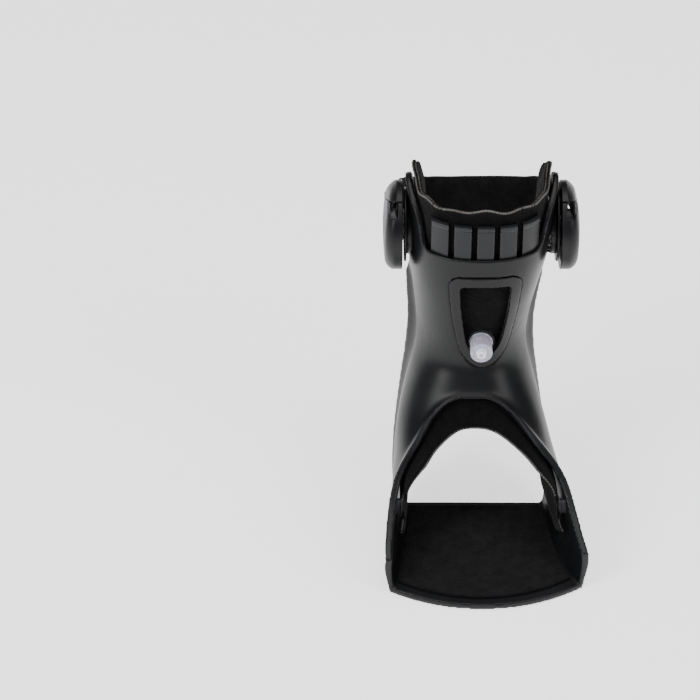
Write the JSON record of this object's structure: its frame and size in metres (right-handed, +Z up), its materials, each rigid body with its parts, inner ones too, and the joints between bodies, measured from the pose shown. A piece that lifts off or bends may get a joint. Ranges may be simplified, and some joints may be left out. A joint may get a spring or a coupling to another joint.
{
  "type": "ankle foot orthosis",
  "caption": "Moulded shin-to-forefoot ankle orthosis with a fabric liner, air bladder and valve, finger collar, round side buckles and a calf strap.",
  "frame": {"origin": "middle of the sole plate's flat underside, under the shell's centre line", "axes": "+Z up, away from the floor; -Y towards the toes; +X to the outer side of a left foot"},
  "size_m": [0.1043, 0.1928, 0.1866],
  "materials": {
    "shell_plastic": "satin moulded black polypropylene",
    "collar_plastic": "satin flexible black plastic",
    "bezel_plastic": "smooth black plastic",
    "liner_fabric": "black brushed loop fabric",
    "bladder_film": "black coated film",
    "sole_foam": "black fabric-faced foam",
    "valve_rubber": "black moulded rubber",
    "valve_clear": "translucent, faintly lilac",
    "valve_white": "smooth white",
    "spring_steel": "plain spring steel",
    "clip_plastic": "smooth black plastic",
    "hub_plastic": "fine-grained black plastic",
    "washer_nylon": "natural nylon",
    "rivet_steel": "blackened steel",
    "buckle_plastic": "fine-grained black plastic",
    "tongue_plastic": "smooth dark grey plastic",
    "strap_webbing": "black woven webbing",
    "pad_fabric": "black brushed fabric over foam"
  },
  "bodies": {
    "shell": {"shell": "shell_plastic", "finger_collar": "collar_plastic", "window_bezel": "bezel_plastic", "liner_face": "liner_fabric", "air_bladder": "bladder_film", "liner_back": "liner_fabric", "sole_pad": "sole_foam", "valve_flange": "valve_rubber", "valve_body": "valve_clear", "valve_seat": "valve_rubber", "valve_spring": "spring_steel", "liner_clip_lateral": "clip_plastic", "liner_clip_medial": "clip_plastic", "hub_plate_lateral": "hub_plastic", "hub_plate_medial": "hub_plastic", "hub_washer_lateral": "washer_nylon", "hub_washer_medial": "washer_nylon", "hub_rivet_lateral": "rivet_steel", "hub_rivet_medial": "rivet_steel"},
    "valve_button": {"valve_plunger": "valve_white"},
    "calf_frame": {"buckle_body_lateral": "buckle_plastic", "buckle_body_medial": "buckle_plastic", "lever_pin_lateral": "rivet_steel", "lever_pin_medial": "rivet_steel", "lever_spring_lateral": "spring_steel", "lever_spring_medial": "spring_steel"},
    "lever_lateral": {"release_lever_lateral": "buckle_plastic"},
    "lever_medial": {"release_lever_medial": "buckle_plastic"},
    "calf_band": {"strap_tongue_lateral": "tongue_plastic", "strap_tongue_medial": "tongue_plastic", "calf_strap": "strap_webbing", "strap_rivets_lateral": "rivet_steel", "strap_rivets_medial": "rivet_steel", "calf_pad": "pad_fabric"}
  },
  "joints": [
    {"name": "calf_frame_swing", "type": "hinge", "parent": "shell", "child": "calf_frame", "pos_m": [0, 0.083, 0.152], "axis": [1, 0, 0], "range_deg": [-20, 20]},
    {"name": "lever_lateral_lift", "type": "hinge", "parent": "calf_frame", "child": "lever_lateral", "pos_m": [0.0455, 0.10225, 0.16134], "axis": [-1, 0, 0], "range_deg": [0, 35], "stiffness_Nm_per_rad": 0.01, "springref_deg": -17.19},
    {"name": "lever_medial_lift", "type": "hinge", "parent": "calf_frame", "child": "lever_medial", "pos_m": [-0.0455, 0.10225, 0.16134], "axis": [-1, 0, 0], "range_deg": [0, 35], "stiffness_Nm_per_rad": 0.01, "springref_deg": -17.19},
    {"name": "strap_tighten", "type": "slide", "parent": "calf_frame", "child": "calf_band", "axis": [0, -0.9063, 0.4226], "range_m": [-0.006, 0.007]},
    {"name": "valve_press", "type": "slide", "parent": "shell", "child": "valve_button", "axis": [0, 1, 0], "range_m": [0, 0.0015], "stiffness_N_per_m": 300, "springref_m": -0.001}
  ]
}
